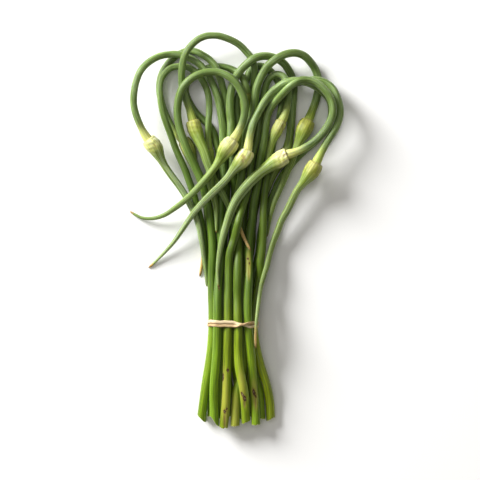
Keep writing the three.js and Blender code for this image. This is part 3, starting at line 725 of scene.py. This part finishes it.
on_top = ring[:, 1] > middle[1]
twist_at = walked[on_top][np.argmin(abs(ring[on_top, 0] - TWIST_X))]
points = points_of(band)
across = points[:, 1] / (BAND_WIDTH / 2)
away = points[:, 0] - twist_at
at_twist = 1 - smooth_step(abs(away), 0, TWIST_HALF_LENGTH)
crease_at = CREASE_LEAN * np.clip(away / CREASE_LEAN_LENGTH, -1, 1)
crease = np.exp(-((across - crease_at) / CREASE_WIDTH) ** 2) * (1 - at_twist)
near_curl = (away + CURL_FROM_TWIST) / CURL_LENGTH
# Painted shade: a dark spot that the material paints where the band curls over; the strip itself
# is not curled there
painted_curl_shade = CURL_SHADE_STRENGTH * np.exp(-near_curl ** 2 - (across / CURL_WIDTH) ** 2)
edge_round = 1 - EDGE_THINNING * abs(across) ** EDGE_POWER
height = points[:, 2] * edge_round * (1 + TWIST_THICKENING * at_twist)
height = height - CREASE_DEPTH * crease * np.sign(points[:, 2])
wobble = sum(size * np.sin(points[:, 0] * rate + ahead) for size, rate, ahead in WAVERING)
width = points[:, 1] * (1 - TWIST_NARROWING * at_twist) + wobble
turned = math.pi * smooth_step(away, -TWIST_HALF_LENGTH, TWIST_HALF_LENGTH)
cosine, sine = np.cos(turned), np.sin(turned)
lift = TWIST_LIFT * at_twist
move_points(band, np.column_stack([points[:, 0], width * cosine - height * sine,
                                   width * sine + height * cosine + lift]))
write_attribute(band, "strip", [points[:, 0] * MM, across, crease + painted_curl_shade])
print(f"twist {twist_at * MM:.0f} mm along the strip")

# %% [markdown]
# Last the strip is bent round the stems: each point goes to its place on the path, and out from
# it by its height in the flat strip. The band lies a little slanted across the bunch, nearer
# the loops at the left. Its two ends then lie against each other underneath.

# %% Bend the strip round the stems
BAND_LEAN = 0.0006
BAND_HALF_SPAN = 0.015

points = points_of(band)
tangent = np.gradient(ring, axis=0)
tangent[0] = tangent[-1] = ring[1] - ring[-2]
tangent /= np.linalg.norm(tangent, axis=1)[:, None]
heading = places_on(tangent, walked, points[:, 0])
outward = np.column_stack([heading[:, 1], -heading[:, 0]])
flat = places_on(ring, walked, points[:, 0]) + outward * points[:, 2:3]
leaning = BAND_LEAN * np.clip((middle[0] - flat[:, 0]) / BAND_HALF_SPAN, -1, 1)
move_points(band, np.column_stack([flat[:, 0], band_y + leaning + points[:, 1], flat[:, 1]]))
edit_with(band, "vertices", all_points(band),
          lambda: bpy.ops.mesh.normals_make_consistent(inside=False))
only(band)
bpy.ops.object.shade_smooth()
print("band:", len(band.data.polygons), "faces")

# %% [markdown]
# ## Materials
#
# A material is a small sum: this colour here, that colour there, darker along fine lines. The
# class below lets such sums be written as sums. It wraps one output of a node, and each
# operator adds the Math node that it stands for.

# %% Write node sums in Python
class Port:
    """One output of a node, which can be added, multiplied and mixed."""

    def __init__(self, sheet, socket):
        self.sheet = sheet
        self.socket = socket

    def _math(self, operation, first, second):
        return self.sheet.add("ShaderNodeMath", [first, second], operation=operation)

    def __add__(self, other):
        return self._math("ADD", self, other)

    __radd__ = __add__

    def __sub__(self, other):
        return self._math("SUBTRACT", self, other)

    def __rsub__(self, other):
        return self._math("SUBTRACT", other, self)

    def __mul__(self, other):
        return self._math("MULTIPLY", self, other)

    __rmul__ = __mul__

    def __truediv__(self, other):
        return self._math("DIVIDE", self, other)

    def __pow__(self, other):
        return self._math("POWER", self, other)


# %% [markdown]
# A sheet holds the nodes of one material. Its one method that adds a node takes the node's
# type, its settings and the values or links of its sockets. The others give the few kinds of
# node that the materials here need a plain name.

# %% The sheet that the nodes lie on
class Sheet:
    """The nodes of one material."""

    def __init__(self, name):
        self.material = bpy.data.materials.new(name)
        self.material.use_nodes = True
        self.nodes = self.material.node_tree.nodes
        self.links = self.material.node_tree.links
        self.shader = self.nodes["Principled BSDF"]

    def plug(self, socket, value):
        if isinstance(value, Port):
            self.links.new(value.socket, socket)
        elif socket.type == "RGBA" and len(value) == 3:
            socket.default_value = (*value, 1)
        else:
            socket.default_value = value

    def add(self, kind, inputs=(), output=0, **settings):
        """A node of any kind: its settings first, then its inputs, by place or by name."""
        node = self.nodes.new(kind)
        for name, value in settings.items():
            setattr(node, name, value)
        pairs = inputs.items() if isinstance(inputs, dict) else enumerate(inputs)
        for name, value in pairs:
            self.plug(node.inputs[name], value)
        return Port(self, node.outputs[output])

    def parts_of(self, attribute):
        """The three numbers that a piece's attribute holds for each point."""
        vector = self.add("ShaderNodeAttribute", attribute_name=attribute, output="Vector")
        return [self.add("ShaderNodeSeparateXYZ", [vector], output=axis) for axis in range(3)]

    def noise(self, x, y, z, scale, detail):
        """Soft random spots, from about 0.3 to about 0.7, at a place given by three numbers."""
        place = self.add("ShaderNodeCombineXYZ", [x, y, z])
        inputs = {"Vector": place, "Scale": scale, "Detail": detail}
        return self.add("ShaderNodeTexNoise", inputs)

    def between(self, value, start, end):
        """From 0 to 1 as the value goes from start to end, softly."""
        inputs = {"Value": value, "From Min": start, "From Max": end}
        return self.add("ShaderNodeMapRange", inputs, interpolation_type="SMOOTHSTEP")

    def spread(self, value, start, end, low, high):
        """From low to high as the value goes from start to end, evenly."""
        inputs = {"Value": value, "From Min": start, "From Max": end,
                  "To Min": low, "To Max": high}
        return self.add("ShaderNodeMapRange", inputs)

    def mix(self, share, first, second, blend="MIX"):
        inputs = {0: share, 6: first, 7: second}
        return self.add("ShaderNodeMix", inputs, output=2, data_type="RGBA", blend_type=blend)

    def finish(self, colour, roughness, bump=None, strength=0.0, distance=0.0, **constants):
        """Plug the sums into the shader and set its constants."""
        self.plug(self.shader.inputs["Base Color"], colour)
        self.plug(self.shader.inputs["Roughness"], roughness)
        if bump is not None:
            inputs = {"Height": bump, "Strength": strength, "Distance": distance}
            self.plug(self.shader.inputs["Normal"], self.add("ShaderNodeBump", inputs))
        for name, value in constants.items():
            self.shader.inputs[name.replace("_", " ")].default_value = value
        return self.material


# %% [markdown]
# ### The scape's skin
#
# Low down the stem is a bright yellow green. In the loop it is a deeper blue green with a thin
# waxy bloom and fine lengthwise lines. Just before the bulb it pales, the bulb is cream to
# olive, and the beak turns green again until its dry tip. All scapes share one material, which
# reads the attributes. Its random patterns are stretched along the scape, so that they run
# lengthwise, and they go round it without a seam.

# %% What the skin reads
class SkinSheet(Sheet):
    """A sheet that knows the scapes' attributes and has drawn the patterns in their skin."""

    def __init__(self, name):
        super().__init__(name)
        self.from_cut, self.past, self.to_tip = self.parts_of("along")
        self.across, self.up, self.seed = self.parts_of("around")
        self.olive, self.dry, self.yellow = self.parts_of("habit")
        self.pale, self.waxy, _ = self.parts_of("age")
        self.scar, self.patch, self.crease = self.parts_of("marked")
        self.lines = self.grown(self.from_cut, 0.012, 5.5, 3.0, 3.0)
        self.strands = self.grown(self.from_cut, 0.02, 1.6, 2.0, 2.0)
        self.blotches = self.grown(self.from_cut, 0.05, 0.8, 1.4, 3.0)
        self.grain = self.grown(self.from_cut, 0.6, 3.0, 2.0, 2.0)
        self.streaks = self.grown(self.from_cut, 0.01, 1.9, 2.4, 2.0)
        self.mottle = self.grown(self.past, 0.3, 1.3, 2.2, 2.0)
        self.is_dry = 1 - self.between(self.to_tip / self.dry, 0.5, 1.1)
        self.speckle = self.grain - 0.5
        self.torn = self.scar + self.speckle * 1.5
        self.is_scar = self.between(self.torn, 0.3, 0.6)

    def grown(self, run, lengthwise, around, scale, detail):
        """A pattern that is this fine lengthwise and this fine around the scape."""
        return self.noise(run * lengthwise, self.across * around,
                          self.up * around + self.seed, scale, detail)


# %% [markdown]
# The stem's greens follow the distance from the cut, and the blotches push each border up and
# down, so that no two scapes change at the same place. The wax lies in patches on the loop.

# %% The stem
# Pairs of a green scape's colour and a yellow one's, or of a fresh bulb's and an olive one's
LOW_GREENS = ((0.168, 0.310, 0.005), (0.275, 0.335, 0.004))
MIDDLE_GREENS = ((0.072, 0.146, 0.005), (0.105, 0.168, 0.005))
LOOP_GREEN = (0.122, 0.192, 0.038)
WAXY_GREEN = (0.275, 0.395, 0.145)
STRAND_GREEN = (0.055, 0.110, 0.010)
NECK_TONES = ((0.62, 0.64, 0.22), (0.36, 0.46, 0.06))
# Millimetres from the cut, and for the last pair millimetres past the neck
LOW_TO_MIDDLE = (60, 135)
MIDDLE_TO_LOOP = (180, 300)
WAX_COMES = (170, 300)
NECK_PALES = (-20, -1)


def stem_colour(sheet):
    low = sheet.mix(sheet.yellow, *LOW_GREENS)
    middle = sheet.mix(sheet.yellow, *MIDDLE_GREENS)
    higher = sheet.between(sheet.from_cut + sheet.blotches * 30, *LOW_TO_MIDDLE)
    stem = sheet.mix(higher, low, middle)
    higher = sheet.between(sheet.from_cut + sheet.blotches * 60, *MIDDLE_TO_LOOP)
    stem = sheet.mix(higher, stem, LOOP_GREEN)
    wax = sheet.between(sheet.from_cut, *WAX_COMES) * sheet.between(sheet.blotches, 0.35, 0.65)
    stem = sheet.mix(wax * (0.2 + sheet.waxy * 0.6), stem, WAXY_GREEN)
    stem = sheet.mix(sheet.between(sheet.strands, 0.48, 0.68) * 0.5, stem, STRAND_GREEN)
    neck = sheet.mix(sheet.olive, *NECK_TONES)
    return sheet.mix(sheet.between(sheet.past, *NECK_PALES) * sheet.pale, stem, neck)


# %% [markdown]
# The bulb is cream with darker strands, veins and a faint mottle. A bulb that has not paled
# keeps the beak's green, and every bulb turns into the beak's green as it thins. The beak has
# pale lengthwise streaks, the more the waxier the scape. A thin brown collar marks the neck.

# %% The bulb and the beak
CREAM_TONES = ((0.86, 0.86, 0.50), (0.35, 0.34, 0.07))
SHADE_TONES = ((0.58, 0.62, 0.16), (0.26, 0.29, 0.02))
MOTTLE_TONE = (0.44, 0.42, 0.14)
COLLAR_BROWN = (0.30, 0.20, 0.05)
BEAK_GREENS = ((0.215, 0.315, 0.028), (0.135, 0.220, 0.040))
BEAK_YELLOW = (0.190, 0.230, 0.012)
BEAK_STREAK = (0.36, 0.44, 0.24)
# Millimetres past the neck
STEM_TO_BULB = (-2, 1.5)
COLLAR_COMES = (-1.6, -0.2)
COLLAR_GOES = (0.1, 1.2)
VEINS_COME = (0.5, 5)
BULB_TO_BEAK = (8, 19)
BEAK_DEEPENS = (12, 45)


def beak_colour(sheet):
    beak = sheet.mix(sheet.between(sheet.past, *BEAK_DEEPENS), *BEAK_GREENS)
    beak = sheet.mix(sheet.yellow * 0.5, beak, BEAK_YELLOW)
    streaked = sheet.between(sheet.streaks, 0.42, 0.6) * (0.2 + sheet.waxy ** 3 * 0.6)
    return sheet.mix(streaked, beak, BEAK_STREAK)


def bulb_colour(sheet, beak):
    cream = sheet.mix(sheet.olive, *CREAM_TONES)
    shade = sheet.mix(sheet.olive, *SHADE_TONES)
    bulb = sheet.mix(sheet.between(sheet.strands + sheet.past * 0.02, 0.35, 0.8), cream, shade)
    veins = sheet.between(sheet.lines, 0.48, 0.62) * sheet.between(sheet.past, *VEINS_COME)
    bulb = sheet.mix(veins * 0.5, bulb, shade)
    bulb = sheet.mix(sheet.between(sheet.mottle, 0.5, 0.7) * 0.35, bulb, MOTTLE_TONE)
    bulb = sheet.mix(1 - sheet.pale, bulb, beak)
    return sheet.mix(sheet.between(sheet.past + sheet.blotches * 6, *BULB_TO_BEAK), bulb, beak)


def fresh_colour(sheet):
    """Stem, bulb and beak together, with the collar between stem and bulb."""
    bulb = bulb_colour(sheet, beak_colour(sheet))
    colour = sheet.mix(sheet.between(sheet.past, *STEM_TO_BULB), stem_colour(sheet), bulb)
    collar = (sheet.between(sheet.past, *COLLAR_COMES)
              * (1 - sheet.between(sheet.past, *COLLAR_GOES)))
    return sheet.mix(collar * sheet.strands * 0.7, colour, COLLAR_BROWN)


# %% [markdown]
# Over the fresh colour come the things that happen to a scape: the tip of the beak dries to
# tan and brown, fine lines and broad streaks make the skin lighter and darker, and patches,
# creases and scars are painted where the marks are. A scar has a yellowed rim, a dark ragged
# middle and a pale heart. The cut face shows the pith.

# %% Tips, tones, marks and the cut
TIP_TONES = ((0.20, 0.11, 0.04), (0.52, 0.36, 0.13))
PATCH_YELLOW = (0.42, 0.40, 0.06)
CREASE_PINK = (0.34, 0.21, 0.08)
SCAR_RIM = (0.38, 0.27, 0.05)
SCAR_BROWN = (0.070, 0.026, 0.006)
SCAR_HEART = (0.55, 0.44, 0.28)
PITH_TONES = ((0.62, 0.64, 0.36), (0.50, 0.54, 0.22))
FINE_TONE = (0.74, 1.24)
BROAD_TONE = (0.74, 1.28)


def with_dry_tip(sheet, colour):
    tip = sheet.mix(sheet.between(sheet.to_tip, 0, 5), *TIP_TONES)
    return sheet.mix(sheet.is_dry, colour, tip)


def with_tones(sheet, colour):
    fine = sheet.spread(sheet.lines, 0.3, 0.7, *FINE_TONE)
    broad = sheet.spread(sheet.streaks, 0.35, 0.65, *BROAD_TONE)
    tone = fine * broad
    grey = sheet.add("ShaderNodeCombineColor", [tone, tone, tone])
    return sheet.mix(1.0, colour, grey, "MULTIPLY")


def with_marks(sheet, colour):
    worn = sheet.between(sheet.patch + sheet.speckle * 0.5, 0.1, 0.8)
    colour = sheet.mix(worn * 0.6, colour, PATCH_YELLOW)
    pink = sheet.between(sheet.crease + sheet.speckle * 0.3, 0.1, 1.0)
    colour = sheet.mix(pink * 0.65, colour, CREASE_PINK)
    colour = sheet.mix(sheet.between(sheet.scar, 0.0, 0.5) * 0.5, colour, SCAR_RIM)
    colour = sheet.mix(sheet.is_scar, colour, SCAR_BROWN)
    return sheet.mix(sheet.between(sheet.torn, 0.95, 1.1), colour, SCAR_HEART)


def with_cut(sheet, colour):
    cut = 1 - sheet.between(sheet.from_cut + sheet.grain * 0.9, 0.45, 1.1)
    pith = sheet.mix(sheet.between(sheet.blotches, 0.4, 0.6), *PITH_TONES)
    return sheet.mix(cut, colour, pith)


# %% [markdown]
# The stem is satin, the bulb a little rougher, and dry or scarred skin rougher still. Light
# goes a little way in, as into any juicy stem, and a faint sheen stands for the wax.

# %% The skin
def skin_material():
    sheet = SkinSheet("scape skin")
    colour = fresh_colour(sheet)
    for step in (with_dry_tip, with_tones, with_marks, with_cut):
        colour = step(sheet, colour)
    roughness = 0.40 + sheet.lines * 0.12 + sheet.between(sheet.past, -5, 3) * 0.1
    roughness = roughness + sheet.is_dry * 0.15 + sheet.is_scar * 0.3
    bump = sheet.lines * 0.6 + sheet.strands * 0.4 - sheet.is_scar * 0.5
    return sheet.finish(colour, roughness, bump, strength=0.4, distance=0.0006,
                        Specular_IOR_Level=0.4, Sheen_Weight=0.2, Sheen_Roughness=0.35,
                        Subsurface_Weight=0.5, Subsurface_Radius=(1.0, 0.9, 0.25),
                        Subsurface_Scale=0.0035)


skin = skin_material()
for piece in scapes.values():
    piece.data.materials.clear()
    piece.data.materials.append(skin)
print("skin:", len(skin.node_tree.nodes), "nodes")

# %% [markdown]
# ### The band
#
# One strand of the band is pale tan and the other darker, with a line of painted shade in brown
# in the crease between them, one brown spot of painted shade where the band curls, and slightly
# darker edges.

# %% The band's material
PALE_STRAND = (0.72, 0.58, 0.35)
DARK_STRAND = ((0.58, 0.42, 0.22), (0.44, 0.29, 0.12))
# Painted shade, for the crease between the strands and for the spot where the band curls
PAINTED_SHADE_BROWN = (0.17, 0.085, 0.022)
EDGE_BROWN = (0.52, 0.30, 0.14)


def band_material():
    sheet = Sheet("band")
    run, across, crease = sheet.parts_of("strip")
    lines = sheet.noise(run * 0.05, across * 4, 0.0, 2.5, 3.0)
    patches = sheet.noise(run * 0.15, across, 3.0, 1.2, 2.0)
    dark = sheet.mix(sheet.between(patches, 0.35, 0.7), *DARK_STRAND)
    colour = sheet.mix(sheet.between(across, -0.15, 0.15), PALE_STRAND, dark)
    # Painted shade: a dark brown line along the crease between the strands, and a dark spot where
    # the band curls
    crease_shade = sheet.between(crease + lines * 0.6, 0.55, 1.15)
    colour = sheet.mix(crease_shade * 0.9, colour, PAINTED_SHADE_BROWN)
    edge = sheet.between(across ** 2, 0.8, 1.0)
    colour = sheet.mix(edge * 0.35, colour, EDGE_BROWN)
    return sheet.finish(colour, 0.55 + lines * 0.1, lines, strength=0.4, distance=0.0004)


band.data.materials.clear()
band.data.materials.append(band_material())
print("band:", len(band.active_material.node_tree.nodes), "nodes")

# %% [markdown]
# ## Hand the pieces over
#
# Every piece belongs to the one body, and the solid that it stands for is hidden.

# %% Ride and replace
for node, piece in scapes.items():
    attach(piece, "root")
    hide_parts(node)
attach(band, "root")
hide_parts("tie_band")
print(len(scapes) + 1, "pieces handed over")

# %% [markdown]
# ## Table, light and camera
#
# The bunch lies on a white table. A large soft light stands far off at the upper left, so low
# that it throws a long soft shadow to the lower right, brightens the left edge of every stem
# and leaves the gaps between stems dark. A weak one hangs high above the table, and faint warm
# light from all round fills the shadow.

# %% Stage
TABLE_SIZE = 8
TABLE_BELOW = 0.0001
TABLE_WHITE = (0.97, 0.97, 0.965)
FILL_COLOUR = (1.0, 0.95, 0.865)
FILL_STRENGTH = 0.23

select_nothing()
bpy.ops.mesh.primitive_plane_add(size=TABLE_SIZE, location=(0, 0, -TABLE_BELOW))
table = bpy.context.active_object
table.name = "table"
table.data.materials.append(Sheet("table white").finish(TABLE_WHITE, 0.9, Specular_IOR_Level=0.1))

world = bpy.data.worlds.new("white room")
bpy.context.scene.world = world
world.use_nodes = True
background = world.node_tree.nodes["Background"]
background.inputs["Color"].default_value = (*FILL_COLOUR, 1)
background.inputs["Strength"].default_value = FILL_STRENGTH


def soft_light(name, location, size, watts):
    """A round area light that faces the bunch."""
    lamp = bpy.data.lights.new(name, "AREA")
    lamp.shape = "DISK"
    lamp.size = size
    lamp.energy = watts
    holder = bpy.data.objects.new(name, lamp)
    holder.location = location
    aim = -np.array(location) / np.linalg.norm(location)
    holder.rotation_euler = (math.acos(-aim[2]), 0, math.atan2(aim[1], aim[0]) - math.pi / 2)
    bpy.context.collection.objects.link(holder)


soft_light("window", location=(-2.2, 1.8, 1.22), size=1.6, watts=216)
soft_light("ceiling", location=(-0.6, 0.5, 2.9), size=2.2, watts=15)
print("table, world and two lights")

# %% [markdown]
# The camera looks straight down from far off through a long lens, so that high and low stems
# are drawn at nearly the same scale. Its distance follows from how much of the table it shows.

# %% Camera
FIELD = 0.384
LENS = 200
SENSOR = 36
MID_HEIGHT = 0.010
VIEW_CENTER = (0.00290, -0.00742)
CLIP_END = 20

camera = bpy.data.cameras.new("camera")
camera.lens = LENS
camera.sensor_width = SENSOR
camera.clip_end = CLIP_END
camera_holder = bpy.data.objects.new("camera", camera)
camera_holder.location = (*VIEW_CENTER, FIELD * LENS / SENSOR + MID_HEIGHT)
bpy.context.collection.objects.link(camera_holder)
bpy.context.scene.camera = camera_holder
bpy.context.scene.view_settings.view_transform = "Standard"
print("camera at", tuple(round(value, 4) for value in camera_holder.location))

# %% [markdown]
# The box of the solids is printed. They should
# be the same but for a hair.

# %% Sizes
print("solids", cad_box)
